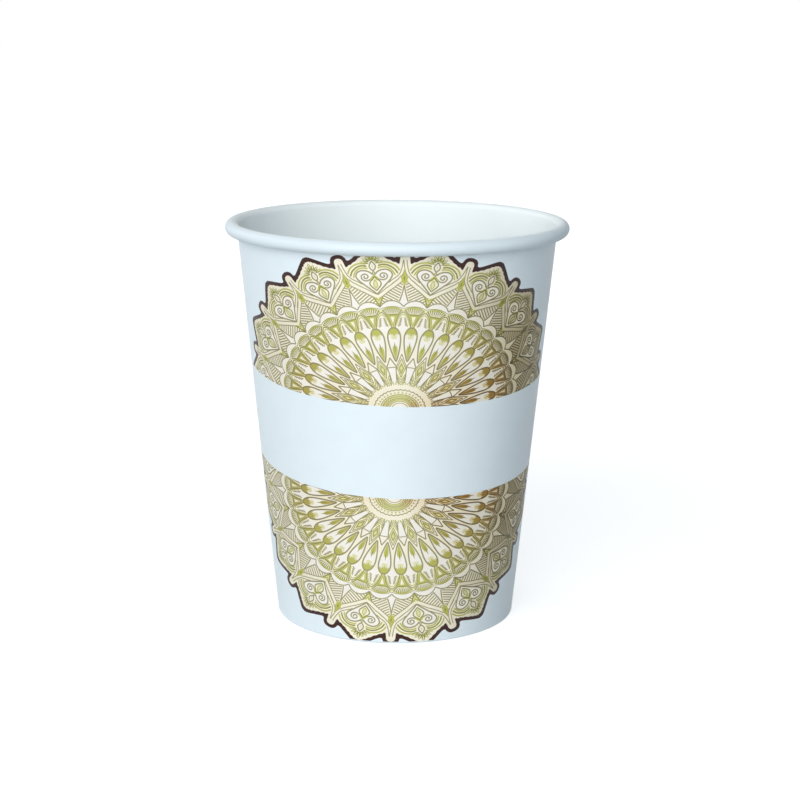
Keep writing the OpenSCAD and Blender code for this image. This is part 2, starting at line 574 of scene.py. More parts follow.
# %% Inside and above the heart
BUD_SIDE = smooth([(0, 33.95), (0.9, 34.65), (1.75, 35.4), (1.95, 36.1), (1.5, 36.7), (0.7, 37.2),
                   (0, 37.9)])
BUD_HEART_SIDE = [(0, 34.6), (0.6, 35.3), (0.7, 35.9), (0.4, 36.5), (0, 37.1)]
DROP_SIDE = smooth([(0, 39.45), (0.75, 40.15), (0.95, 40.8), (0.5, 41.6), (0, 42.15)])
LEAF_STEPS = 6


def leaf(base, tip, half_w):
    """A pointed leaf between two points of a motif, half_w millimetres to each side."""
    mm_per_degree = math.radians((base[1] + tip[1]) / 2)
    dx, dy = (tip[0] - base[0]) * mm_per_degree, tip[1] - base[1]
    length = math.hypot(dx, dy)
    edge = []
    for side in (1, -1):
        for i in range(LEAF_STEPS):
            share = i / LEAF_STEPS if side > 0 else 1 - i / LEAF_STEPS
            bulge = side * half_w * math.sin(math.pi * share) ** 0.8
            edge.append((base[0] + (dx * share - dy / length * bulge) / mm_per_degree,
                         base[1] + dy * share + dx / length * bulge))
    return edge


SPRIG = [((0, 42.2), (0, 44.6), 0.42), ((0.45, 42.1), (1.5, 43.9), 0.38),
         ((0.8, 41.9), (2.7, 43.1), 0.36), ((0.9, 41.5), (3.6, 42.3), 0.3)]
for base, tip, half_w in SPRIG:
    heart_of_leaf = ((3 * base[0] + tip[0]) / 4, (3 * base[1] + tip[1]) / 4)
    stamp([("deep", leaf(base, tip, half_w), None),
           ("pale", leaf(heart_of_leaf, tip, half_w * 0.45), None)],
          LOBE_AXIS, LOBE_STEP, mirror=base[0] > 0)
stamp([("gold", both_sides([(0, 38.5), (0.75, 38.0), (1.6, 37.3), (1.3, 36.8), (0, 36.6)]), None),
       ("cream", both_sides(BUD_SIDE), None),
       ("pale", both_sides(BUD_HEART_SIDE), None),
       ("white", both_sides(DROP_SIDE), None),
       ("pale", both_sides([(0, 40.0), (0.38, 40.7), (0, 41.4)]), None),
       ("pale", both_sides([(0, 38.3), (0.45, 38.85), (0, 39.4)]), None)],
      LOBE_AXIS, LOBE_STEP)
stamp([("deep", BUD_SIDE, 0.28),
       ("gold", BUD_HEART_SIDE, 0.22),
       ("line", DROP_SIDE, 0.3),
       ("line", [(0, 38.3), (0.45, 38.85), (0, 39.4)], HAIR_W * 0.8)],
      LOBE_AXIS, LOBE_STEP, mirror=True)
print(len(shapes), "shapes so far")

# %% [markdown]
# Straps, stars and hatching
#
# Two cream straps run from each knob down to the tips of the hearts beside it, a wide one and a
# narrow one over it. A slim gold star stands in their fork over a white spike, and slanting
# strokes hatch the spaces on both sides. A strap is one stroke of the line's ink under a
# narrower cream one. The hatching is worked out: each stroke is as long as its space allows.

# %% The straps and the hatched ground under them
STRAP = smooth([(9.3, 37.5), (8.5, 36.7), (8, 36.3), (7, 35.7), (6, 35.1), (5, 34.6), (4, 34.1),
                (3, 33.55), (2, 33.05), (1, 32.6), (0, 32.3)])
UPPER_STRAP = smooth([(9.95, 42.3), (9.75, 41.0), (9.45, 39.7), (9, 38.6), (8.3, 37.8), (7.3, 37.1),
                      (6.2, 36.5), (5, 35.75)])
STRAP_W = 0.7
UPPER_STRAP_W = 0.46
STRAP_LINE_W = 0.2
SCALLOP_TOP = [(0, 29.3), (1.4, 30.2), (3.2, 30.8), (5, 31.0), (6.8, 30.8), (8.6, 30.2), (10, 29.3)]
SPIKE_SIDE = smooth([(0, 35.4), (0.3, 34.2), (0.75, 32.8), (1.35, 31.5), (1.8, 30.7)])
# Room that the hatching leaves: to the scallops and the strap in millimetres, to the spike in degrees
SCALLOP_ROOM = 0.15
STRAP_ROOM = 0.75
SPIKE_ROOM = 0.45
# A stroke is tried at every tenth of a degree, and needs over this many of them
TENTHS = range(2, 98)
FEWEST_TENTHS = 6


def height_at(line, t):
    """Radius of a line of motif points at t, between the two points around it."""
    ordered = sorted(line)
    for (t0, r0), (t1, r1) in zip(ordered, ordered[1:]):
        if t0 <= t <= t1:
            return r0 + (r1 - r0) * (t - t0) / max(t1 - t0, 1e-9)
    return ordered[0][1] if t < ordered[0][0] else ordered[-1][1]


def hatching(first_r, spacing, count, slope):
    """Strokes that rise away from the spike by slope millimetres a degree."""
    spike = [(r, t) for t, r in SPIKE_SIDE]
    strokes = []
    for i in range(count):
        inside = []
        for k in TENTHS:
            t = LOBE_AXIS - k / 10
            r = first_r - spacing * i + slope * (LOBE_AXIS - t)
            floor_r = height_at(SCALLOP_TOP, t) + SCALLOP_ROOM
            roof_r = height_at(STRAP, t) - STRAP_ROOM
            if floor_r < r < roof_r and LOBE_AXIS - t > height_at(spike, r) + SPIKE_ROOM:
                inside.append((t, r))
        if len(inside) > FEWEST_TENTHS:
            strokes.append([inside[0], inside[-1]])
    return strokes


stamp([("line", stroke_ends, 0.25) for stroke_ends in hatching(35.2, 0.84, 11, 0.4)]
      + [("gold", [(9.4, 38.2), (8.7, 37.5), (7.4, 36.6), (6.0, 35.8)], 0.5),
         ("line", UPPER_STRAP, UPPER_STRAP_W + 2 * STRAP_LINE_W),
         ("cream", UPPER_STRAP, UPPER_STRAP_W),
         ("line", STRAP, STRAP_W + 2 * STRAP_LINE_W),
         ("cream", STRAP, STRAP_W)],
      LOBE_AXIS, LOBE_STEP, mirror=True)
print(len(shapes), "shapes so far")

# %% [markdown]
# The star and the spike stand on the axis between two lobes, and a small gold wedge fills the
# space under each heart. They come after the straps, so they cover the ends of them.

# %% The stars, the spikes and the gold wedge under each heart
STAR_SIDE = [(0, 40.9), (0.22, 39.2), (0.6, 38.1), (1.3, 37.4), (0.95, 36.8), (1.3, 36.1),
             (0.55, 35.9), (0, 35.1)]
WEDGE_SIDE = [(0, 31.6), (0.7, 31.9), (2.0, 32.4), (1.4, 31.5), (0.8, 30.6), (0, 29.6)]
stamp([("gold", both_sides(STAR_SIDE), None),
       ("deep", both_sides([(0, 38.0), (0.3, 37.2), (0, 36.4)]), None),
       ("white", both_sides(SPIKE_SIDE + [(0.9, 29.9), (0, 29.2)]), None)],
      0, LOBE_STEP)
stamp([("line", SPIKE_SIDE, HAIR_W)], 0, LOBE_STEP, mirror=True)
stamp([("gold", both_sides(WEDGE_SIDE), None)], LOBE_AXIS, LOBE_STEP)
stamp([("deep", WEDGE_SIDE[2:], HAIR_W * 0.8),
       ("pale", [(0, 30.5), (0.75, 31.4)], 0.18)],
      LOBE_AXIS, LOBE_STEP, mirror=True)
print(len(shapes), "shapes so far")

# %% [markdown]
# Scallops, fans and petals
#
# Inside the lobes the pattern runs twice as fast, once every 10 degrees: a white scallop, a
# gold fan with ribs and a small cream triangle, and a domed window with feathered strokes
# between two fans.

# %% Scallops, domes and fans
SHORT_STEP = LOBE_STEP / 2
SHORT_AXIS = SHORT_STEP / 2
SCALLOP = [(t - SHORT_AXIS, r) for t, r in smooth(SCALLOP_TOP)]
SCALLOP_FOOT = smooth([(5, 28.75), (3.4, 29.15), (0, 29.45), (-3.4, 29.15), (-5, 28.75)])
DOME_SIDE = smooth([(0, 27.85), (1.2, 27.4), (2.4, 26.5), (3.3, 25.4), (3.9, 24.3), (4.2, 23.2)])
WINDOW_SIDE = smooth([(0, 26.9), (0.4, 25.9), (0.75, 24.9), (1.3, 24.0), (2.3, 23.3)])
INNER_DOME_SIDE = smooth([(0, 27.2), (1.1, 26.8), (2.1, 26.0), (2.9, 25.0), (3.4, 24.0)])
FAN_TOP = smooth([(0, 29.3), (1.8, 29.15), (3.4, 28.8), (4.9, 28.25)])
FAN_FOOT = smooth([(4.9, 28.25), (3.5, 27.6), (2.3, 26.6), (1.35, 25.5), (0.7, 24.5), (0.35, 23.6)])
RIBS_EACH_SIDE = 4


def rib(j, foot_t, foot_r, top_r):
    """A rib of the fan, the j-th from its axis. Its top follows the fan's curve."""
    return [(foot_t * j, foot_r), (1.04 * j, top_r - 0.03 * j * j)]


def feather(j):
    """A stroke beside the window, the j-th from the top."""
    return [(0.5 + 0.12 * j, 26.25 - 0.5 * j), (1.5 + 0.28 * j, 25.75 - 0.5 * j)]


stamp([("cream", both_sides(DOME_SIDE + [(3.2, 22.4), (0, 22.2)]), None),
       ("white", both_sides(WINDOW_SIDE + [(2.0, 22.4), (0, 22.0)]), None)],
      0, SHORT_STEP)
stamp([("deep", DOME_SIDE, HAIR_W * 0.9),
       ("gold", INNER_DOME_SIDE, HAIR_W * 0.8)]
      + [("line", feather(j), 0.22) for j in range(5)],
      0, SHORT_STEP, mirror=True)
stamp([("gold", both_sides(FAN_TOP + FAN_FOOT + [(0, 23.3)]), None),
       ("cream", [(-1.0, 26.5), (1.0, 26.5), (0, 24.5)], None),
       ("deep", SCALLOP_FOOT, 0.28),
       ("white", SCALLOP + SCALLOP_FOOT, None),
       ("line", SCALLOP, HAIR_W * 0.9)]
      + [("deep", rib(j, 0.5, 26.9, 28.95), 0.24) for j in range(-RIBS_EACH_SIDE, RIBS_EACH_SIDE + 1)]
      + [("cream", rib(j + 0.5, 0.54, 27.2, 28.85), 0.19)
         for j in range(-RIBS_EACH_SIDE, RIBS_EACH_SIDE)],
      SHORT_AXIS, SHORT_STEP)
print(len(shapes), "shapes so far")

# %% [markdown]
# A long white petal points to the middle under each fan. It has a gold cap at its round end and
# a gold flame in its pointed one.

# %% Petals
PETAL_SIDE = smooth([(0, 23.35), (1.5, 23.15), (2.9, 22.3), (3.75, 21.0), (3.9, 19.7), (3.5, 18.0),
                     (2.7, 16.4), (1.6, 15.0), (0.7, 14.2), (0, 13.75)])
CAP_SIDE = (smooth([(0, 23.2), (1.4, 23.0), (2.6, 22.3), (3.1, 21.7)])
            + [(2.4, 21.2), (1.9, 21.9), (1.3, 21.0), (0.7, 21.7), (0, 20.7)])
CAP_SHADE_SIDE = [(0, 21.0), (0.7, 21.6), (1.3, 20.8), (2.2, 21.4), (1.9, 20.5), (1.0, 20.1), (0, 20.2)]
FLAME_SIDE = [(0, 19.4), (0.4, 18.4), (0.8, 17.8), (1.3, 18.4), (1.6, 17.7), (1.9, 17.0),
              (1.6, 16.2), (1.0, 15.3), (0.5, 14.7), (0, 14.4)]
stamp([("white", both_sides(PETAL_SIDE), None),
       ("pale", both_sides(CAP_SHADE_SIDE), None),
       ("gold", both_sides(CAP_SIDE), None),
       ("gold", both_sides(FLAME_SIDE), None),
       ("deep", both_sides([(0, 19.3), (0.35, 18.2), (0.2, 16.8), (0, 16.2)]), None)],
      SHORT_AXIS, SHORT_STEP)
stamp([("line", PETAL_SIDE, 0.32)], SHORT_AXIS, SHORT_STEP, mirror=True)
print(len(shapes), "shapes so far")

# %% [markdown]
# The heart of the medallion
#
# A zigzag line closes the petals off. Inside it stand lozenges over nested chevrons, with a
# clean white block between each pair.

# %% Zigzag, lozenges and blocks
LOZENGE_SIDE = [(0, 15.9), (5, 12.3), (5.7, 10.9), (5.3, 9.2), (3.4, 7.0), (0, 6.6)]
BLOCK_SIDE = [(0, 11.95), (4.3, 11.95), (4.1, 10.5), (3.7, 9.0), (3.9, 7.6), (0, 7.6)]
stamp([("cream", both_sides(LOZENGE_SIDE), None),
       ("pale", both_sides([(0, 14.6), (4.4, 11.9), (0, 9.2)]), None),
       ("gold", both_sides([(0, 13.2), (2.6, 11.8), (0, 10.2)]), None),
       ("pale", both_sides([(0, 12.6), (1.3, 11.85), (0, 11.1)]), None)],
      0, LOBE_STEP)
stamp([("line", LOZENGE_SIDE[:-1], 0.19),
       ("deep", [(0, 14.6), (4.4, 11.9), (0, 9.2)], 0.15),
       ("deep", [(0, 13.2), (2.6, 11.8), (0, 10.2)], 0.12),
       ("gold", [(5.4, 10.2), (0, 8.45)], 0.24),
       ("deep", [(5.1, 9.3), (0, 7.75)], 0.15),
       ("gold", [(4.4, 8.3), (0, 7.05)], 0.21)],
      0, LOBE_STEP, mirror=True)
stamp([("white", both_sides([(0, 14.3), (3.9, 12.4)]) + [(0, 12.4)], None),
       ("white", both_sides(BLOCK_SIDE), None),
       ("line", [(-4.6, 12.15), (0, 12.15), (4.6, 12.15)], 0.2)],
      LOBE_AXIS, LOBE_STEP)
stamp([("line", [(0, 14.9), (5, 12.3)], 0.25),
       ("line", BLOCK_SIDE[1:-1], 0.18),
       ("gold", [(0.5, 7.2), (1.9, 8.2), (3.3, 7.2)], None)],
      LOBE_AXIS, LOBE_STEP, mirror=True)
print(len(shapes), "shapes so far")

# %% [markdown]
# Narrow rings of beads and waves surround the white hub. A ring is stamped as the others are,
# one short piece at a time, so each piece holds one wave. The band cuts through all of them.

# %% Rings of beads and waves round the hub
BEAD_SIDES = 8


def ring(r, wave=0.0):
    """One step of a ring, with a scallop of that height on it."""
    return [(t, r + wave * math.cos(math.radians(t * 360 / SHORT_STEP))) for t in (-5, -2.5, 0, 2.5, 5)]


def bead(r, size):
    """A round bead on a motif's axis."""
    mm_per_degree = math.radians(r)
    return [(size * math.cos(a) / mm_per_degree, r + size * math.sin(a))
            for a in (FULL_TURN * i / BEAD_SIDES for i in range(BEAD_SIDES))]


stamp([("cream", ring(5.0), 1.2),
       ("gold", ring(4.85, 0.12), 0.36),
       ("deep", ring(5.6, 0.14), 0.2),
       ("deep", ring(4.25), 0.17),
       ("pale", ring(3.6), 0.9),
       ("gold", ring(3.75, 0.18), 0.28),
       ("deep", ring(3.2, 0.16), 0.16),
       ("pale", ring(2.65), 0.6),
       ("gold", ring(2.8, 0.14), 0.22),
       ("deep", ring(2.3, 0.1), 0.13),
       ("cream", ring(2.05), 0.3),
       ("deep", ring(1.8), 0.14),
       ("white", [(-5, 1.7), (0, 1.7), (5, 1.7), (0, -0.5)], None),
       ("cream", bead(4.9, 0.28), None)],
      0, SHORT_STEP)
print(len(shapes), "shapes in all")

# %% [markdown]
# From the drawing to the wall
#
# A constrained Delaunay triangulation cuts the fan-shaped sheet along every line of the drawing.
# It also tells for each triangle which shapes it lies in, and the one printed last gives its
# ink. The columns round the cup are cut lines too, so that the sheet bends smoothly when it is
# wrapped.
#
# Most of those cuts are hidden, because they lie under a later shape or between two parts of one
# stroke. So a second triangulation keeps only the cuts at which the ink changes, which takes
# away a third of the triangles and leaves the print as it is.
#
# The cup in the photograph has a short crease in the board above the foot, at the front left. It
# is a shallow fold, so its three lines are cut lines, and its middle sinks a little.

# %% The crease and the sheet's outline
SEAM_ROWS = 12
ROWS = [s_fold + (s_roll - s_fold) * i / SEAM_ROWS for i in range(SEAM_ROWS + 1)]
CREASE_ANGLE = math.radians(-41.5)
CREASE_FOOT = to_sheet(CREASE_ANGLE, s_fold + 0.2)
CREASE_LENGTH = 6.3
CREASE_HALF_W = 0.45
CREASE_SINK = 0.09
CREASE_STEPS = 6


def crease_depth(x, y):
    """How far the printed face sinks at the short crease above the foot."""
    along, across = y - CREASE_FOOT[1], x - CREASE_FOOT[0]
    if not 0 <= along <= CREASE_LENGTH or abs(across) >= CREASE_HALF_W:
        return 0.0
    fade = math.sin(math.pi * min(1.0, along / CREASE_LENGTH))
    return CREASE_SINK * (1 - abs(across) / CREASE_HALF_W) * fade


def sheet_outline():
    """Points of the sheet's outline and, for each, its place on the cup as column and row."""
    bottom = [(j, 0) for j in range(LAST + 1)]
    right = [(LAST, i) for i in range(1, SEAM_ROWS)]
    top = [(j, SEAM_ROWS) for j in range(LAST, -1, -1)]
    left = [(0, i) for i in range(SEAM_ROWS - 1, 0, -1)]
    order = bottom + right + top + left
    return order, [to_sheet(COLUMNS[j], ROWS[i]) for j, i in order]


outline_order, outline_corners = sheet_outline()
print(len(outline_order), "points on the sheet's outline")

# %% [markdown]
# The guide lines go into the first cut beside the drawing. Where the ornament is, every second
# column is enough, because the drawing cuts the sheet finely anyway. Two more lines part off a
# narrow strip along each long edge of the sheet. It stays bare, so that no border between inks
# ends on the outline, where it would leave a gap to the next part of the board.

# %% Lines that guide the cut
BARE_EDGE = 0.05
ORNAMENT_SPAN = math.radians(78)


def guide_lines(order, corners):
    """Points and edges of the columns, the crease and the two bare strips. Also returns how many
    of the edges bend the sheet, which are those of the columns and the crease."""
    points = [Vector(p) for p in corners]
    edges = []
    start_of = {place: i for i, place in enumerate(order)}
    for j in range(1, LAST):
        middle = [len(points) + i for i in range(SEAM_ROWS - 1)]
        points += [Vector(to_sheet(COLUMNS[j], s)) for s in ROWS[1:-1]]
        line = [start_of[(j, 0)]] + middle + [start_of[(j, SEAM_ROWS)]]
        if j % 2 == 0 or abs(COLUMNS[j]) > ORNAMENT_SPAN:
            edges += list(zip(line, line[1:]))
    for offset in (-CREASE_HALF_W, 0, CREASE_HALF_W):
        first = len(points)
        points += [Vector((CREASE_FOOT[0] + offset, CREASE_FOOT[1] + CREASE_LENGTH * i / CREASE_STEPS))
                   for i in range(CREASE_STEPS + 1)]
        edges += [(first + i, first + i + 1) for i in range(CREASE_STEPS)]
    bending = len(edges)
    for s in (s_fold + BARE_EDGE, s_roll - BARE_EDGE):
        edges += [(len(points) + j, len(points) + j + 1) for j in range(LAST - 2)]
        points += [Vector(to_sheet(angle, s)) for angle in COLUMNS[1:-1]]
    return points, edges, bending


def is_bare(points):
    """Whether a triangle lies in the bare strips along the sheet's long edges."""
    middle = sum(points, Vector((0, 0))) / len(points)
    return not s_fold + BARE_EDGE < from_sheet(*middle)[1] < s_roll - BARE_EDGE


# %% [markdown]
# One thing has to be watched. A shape whose points nearly lie on one line can be squeezed flat
# by the triangulation, and then it counts as lying over half the sheet. So the area that each
# shape covers is compared with that of its own outline, and such slivers are left out.

# %% Slivers
SPILL_AREA = 0.1
SPILL_SHARE = 1.5


def spilt_shapes(made, triangles, inside, outlines):
    """Numbers of the shapes that cover far more than their own outlines."""
    covered = [0.0] * len(outlines)
    for (a, b, c), shapes_here in zip(triangles, inside):
        area = abs((made[b] - made[a]).cross(made[c] - made[a])) / 2
        for index in shapes_here:
            covered[index] += area
    spilt = {index for index in range(1 + len(HALVES), len(outlines))
             if covered[index] > SPILL_AREA + SPILL_SHARE * abs(signed_area(outlines[index]))}
    print(len(spilt), "slivers left out, as their ink would run past their outline")
    return spilt


# %% [markdown]
# The first cut has the sheet's outline, the two fields and every shape. A triangle takes the ink
# of the shape that was printed last, if it lies in the field of that shape's half.

# %% Cut the sheet along the drawing
DRAWING_TOLERANCE = 1e-4


def cut_drawing(order, corners):
    """Cuts the sheet along every line of the drawing. Returns the points, the triangles, their inks
    and the edges that lie on the columns or the crease."""
    points, edges, bending = guide_lines(order, corners)
    polygons = [list(range(len(corners)))]
    owners = [("sheet", "board")]
    for half, ink, outline in [(half, "field", field(half)) for half in HALVES] + shapes:
        polygons.append(list(range(len(points), len(points) + len(outline))))
        points += [Vector(p) for p in outline]
        owners.append((half, ink))
    made, made_edges, triangles, _, drawn_as, inside = delaunay_2d_cdt(
        points, edges, polygons, 0, DRAWING_TOLERANCE, True)
    spilt = spilt_shapes(made, triangles, inside, [[points[k] for k in polygon] for polygon in polygons])
    fields = {half: 1 + i for i, half in enumerate(HALVES)}
    kept, inks = [], []
    for triangle, shapes_here in zip(triangles, inside):
        if 0 not in shapes_here:
            continue
        kept.append(triangle)
        inks.append("board")
        if is_bare([made[k] for k in triangle]):
            continue
        for index in sorted(set(shapes_here) - spilt, reverse=True):
            half, name = owners[index]
            if name not in ("field", "board") and fields[half] in shapes_here:
                inks[-1] = name
                break
    fixed = {tuple(sorted(edge)) for edge, old in zip(made_edges, drawn_as)
             if min(old, default=bending) < bending}
    return made, kept, inks, fixed


first_cut = cut_drawing(outline_order, outline_corners)
print(len(shapes), "shapes,", len(first_cut[1]), "triangles in the first cut")

# %% [markdown]
# The second cut takes only the borders between two inks, and the guide lines. Its triangles are
# new, so the ink of each is looked up in the first cut, at the triangle's middle.

# %% Cut the sheet again where the ink changes
INK_TOLERANCE = 1e-5


def cut_inks(order, corners, drawn, kept, inks, fixed):
    """Cuts the sheet along the borders between inks. Takes what the first cut gave, and returns
    the points, the triangles with their inks, and the places of the outline's points."""
    inks_beside = {}
    for triangle, ink in zip(kept, inks):
        for a, b in zip(triangle, triangle[1:] + triangle[:1]):
            inks_beside.setdefault((min(a, b), max(a, b)), []).append(ink)
    borders = [edge for edge, beside in inks_beside.items()
               if len(beside) == 2 and (beside[0] != beside[1] or edge in fixed)]
    index_of = {}
    for edge in borders:
        for old in edge:
            index_of.setdefault(old, len(corners) + len(index_of))
    points = [Vector(p) for p in corners] + [drawn[old] for old in index_of]
    edges = [(index_of[a], index_of[b]) for a, b in borders]
    outline = list(range(len(corners)))
    made, _, triangles, came_from, _, inside = delaunay_2d_cdt(
        points, edges, [outline], 0, INK_TOLERANCE, True)
    finder = BVHTree.FromPolygons([p.to_3d() for p in drawn], kept)
    chosen = []
    for triangle, shapes_here in zip(triangles, inside):
        if shapes_here:
            middle = sum((made[k] for k in triangle), Vector((0, 0))) / 3
            chosen.append((triangle, inks[finder.find_nearest(middle.to_3d())[2]]))
    place_of = {}
    for new, old_indices in enumerate(came_from):
        for old in old_indices:
            if old < len(order):
                place_of[new] = order[old]
    return made, chosen, place_of


sheet_points, sheet_triangles, outline_places = cut_inks(outline_order, outline_corners, *first_cut)
print(len(sheet_triangles), "triangles in the second,", len(outline_places), "points on the outline")

# %% [markdown]
# Wrapping the sheet
#
# All the faces of the board are gathered in one list: the printed wall from the triangulation,
# and grids for the hem, the fold, the roll and the unprinted face. Points that two of them share
# are made once, so the finished mesh is closed. Each corner keeps its own normal, worked out
# from the section, so the wall shades as a true cone and the roll as a true round.

# %% A list of points and faces
verts = []
faces = []
point_index = {}


def around(radius, height, angle):
    """A point of the cup in metres, from its radius and height in millimetres."""
    return Vector((radius * math.sin(angle), -radius * math.cos(angle), max(height, 0.0))) * MM


def add_point(key, place):
    """The index of a point, which is made the first time its key is asked for."""
    if key not in point_index:
        point_index[key] = len(verts)
        verts.append(place)
    return point_index[key]


def station_point(station, depth, angle):
    """A station's point at some depth."""
    (radius, height), (out, up) = station
    return around(radius + out * depth, height + up * depth, angle)


def station_normal(station, depth, angle, sign):
    """The normal there. Where the foot is pressed flat it points straight down."""
    (_, height), (out, up) = station
    if height + up * depth < 0:
        return Vector((0, 0, -1))
    return Vector((out * math.sin(angle), -out * math.cos(angle), up)) * sign


def add_face(corners, ink, facing, flat=False):
    """Adds a face. A corner is a point's index, its normal and its place on the flat sheet."""
    ring_of = [c for i, c in enumerate(corners) if c[0] != corners[i - 1][0]]
    if len(ring_of) < 3:
        return
    area = Vector()
    start = verts[ring_of[0][0]]
    for a, b in zip(ring_of[1:], ring_of[2:]):
        area += (verts[a[0]] - start).cross(verts[b[0]] - start)
    if area.length == 0:
        return
    if area.dot(facing) < 0:
        ring_of.reverse()
        area = -area
    normal = area.normalized()
    faces.append(([c[0] for c in ring_of], ink,
                  [normal if flat or c[1] is None else c[1] for c in ring_of],
                  [c[2] for c in ring_of]))


# %% [markdown]
# The print comes first. A point on the sheet's outline keeps its exact column and row, because
# the hem, the roll and the seam's cut edge will use it too.

# %% The printed wall
def printed_wall():
    """Every triangle of the printed face, wrapped round the cup."""
    corner_of = []
    for index, (x, y) in enumerate(sheet_points):
        if index in outline_places:
            j, i = outline_places[index]
            angle, s = COLUMNS[j], ROWS[i]
            depth = board if j == 0 else printed_depth(angle)
            key = ("printed", j, "low" if i == 0 else "high" if i == SEAM_ROWS else i)
        else:
            angle, s = from_sheet(x, y)
            depth = printed_depth(angle) - crease_depth(x, y)
            key = ("print", index)
        radius, height = wall_point(s, depth)
        normal = Vector((wall_out[0] * math.sin(angle), -wall_out[0] * math.cos(angle), wall_out[1]))
        creased = depth < board - 1e-6
        on_ramp = board + 1e-6 < depth < 2 * board - 1e-6
        corner_of.append((key, around(radius, height, angle), normal, (x, y), creased or on_ramp))
    for triangle, ink in sheet_triangles:
        flat = any(corner_of[k][4] for k in triangle)
        corners = [(add_point(corner_of[k][0], corner_of[k][1]), corner_of[k][2], corner_of[k][3])
                   for k in triangle]
        add_face(corners, ink, corners[0][1], flat)


printed_wall()
print(len(faces), "faces of print")

# %% [markdown]
# The rest of the printed face is out of sight or nearly so: inside the roll, round the foot and
# on the hem's inner side. No ornament reaches it, so it is plain board.
#
# Each part of the board has its own stretch of the flat page, above or below the print, so the
# pattern of the fibres goes on all over the board without a repeat.

# %% Hem, fold and roll on the printed side
LOW_PATH = HEM + FOLD[1:]
UNPRINTED_PATH = HEM + FOLD[1:] + WALL[1:] + ROLL[1:]
FIRST_ROLL = len(HEM) + len(FOLD) + len(WALL) - 2
PAGE_STEP = 120.0
UNPRINTED_PAGE = 3 * PAGE_STEP
SEAM_EDGE_PAGE = 5 * PAGE_STEP
END_EDGE_PAGE = 6 * PAGE_STEP


def lengths(path):
    """Distance along a path at each of its stations."""
    total, out = 0.0, [0.0]
    for (a, _), (b, _) in zip(path, path[1:]):
        total += math.dist(a, b)
        out.append(total)
    return out


def printed_grid(path, name, shared_row):
    """A grid over the printed face. One of its rows is shared with the wall."""
    along = lengths(path)
    page_y = -PAGE_STEP if name == "low" else PAGE_STEP
    for i in range(len(path) - 1):
        for j in range(LAST):
            corners = []
            for ii, jj in ((i, j), (i, j + 1), (i + 1, j + 1), (i + 1, j)):
                angle = COLUMNS[jj]
                depth = board if jj == 0 else printed_depth(angle)
                key = ("printed", jj, name) if ii == shared_row else ("printed", jj, name, ii)
                corners.append((add_point(key, station_point(path[ii], depth, angle)),
                                station_normal(path[ii], depth, angle, 1),
                                (angle * mid_r, page_y + along[ii])))
            add_face(corners, "board", corners[0][1] + corners[2][1], COLUMNS[j + 1] == inner_edge)


printed_grid(LOW_PATH, "low", len(LOW_PATH) - 1)
printed_grid(ROLL, "high", 0)
print(len(faces), "faces with the printed side's ends")

# %% [markdown]
# The unprinted face is one grid from the hem over the inside to the end of the roll. At the
# seam the outer layer climbs over the inner layer's cut edge, and leaves a small hollow beside
# it. So the points on that edge are made twice, once for each layer.

# %% The unprinted face, from the hem over the inside to the roll
def groove_run(row):
    """Width of the hollow beside the inner cut edge, as an angle. Over the roll it is only a line."""
    return ramp_a if row <= FIRST_ROLL else groove_a


def unprinted_point(row, j, after):
    """A point of the unprinted face. At the inner cut edge it depends on the side."""
    j = 0 if j == LAST else j
    angle = COLUMNS[j]
    depth = 0.0 if (j == EDGE and after) else unprinted_depth(angle, groove_run(row))
    key = ("unprinted", j, row, after and j == EDGE)
    return add_point(key, station_point(UNPRINTED_PATH[row], depth, angle))


def unprinted_grid():
    """The grid over the unprinted face."""
    along = lengths(UNPRINTED_PATH)
    for i in range(len(UNPRINTED_PATH) - 1):
        for j in range(LAST):
            corners = []
            for ii, jj in ((i, j), (i, j + 1), (i + 1, j + 1), (i + 1, j)):
                normal = station_normal(UNPRINTED_PATH[ii], 0, COLUMNS[jj], -1)
                corners.append((unprinted_point(ii, jj, jj == j), normal,
                                (COLUMNS[jj] * mid_r, UNPRINTED_PAGE + along[ii])))
            near_edge = inner_edge - ramp_a - 1e-6 < COLUMNS[j] < inner_edge - 1e-6
            add_face(corners, "film", corners[0][1] + corners[2][1], near_edge)


unprinted_grid()
print(len(faces), "faces with the unprinted side")

# %% [markdown]
# What is left open is the cut board: the seam's two steps, the hem's top and the end of the
# roll. All their points exist by now, so only faces are added, and the mesh is closed.

# %% The cut edges
def edge_face(indices, facing, page):
    """A face of cut board."""
    add_face([(index, None, (page[0] + k % 2, page[1] + k // 2)) for k, index in enumerate(indices)],
             "edge", facing, True)


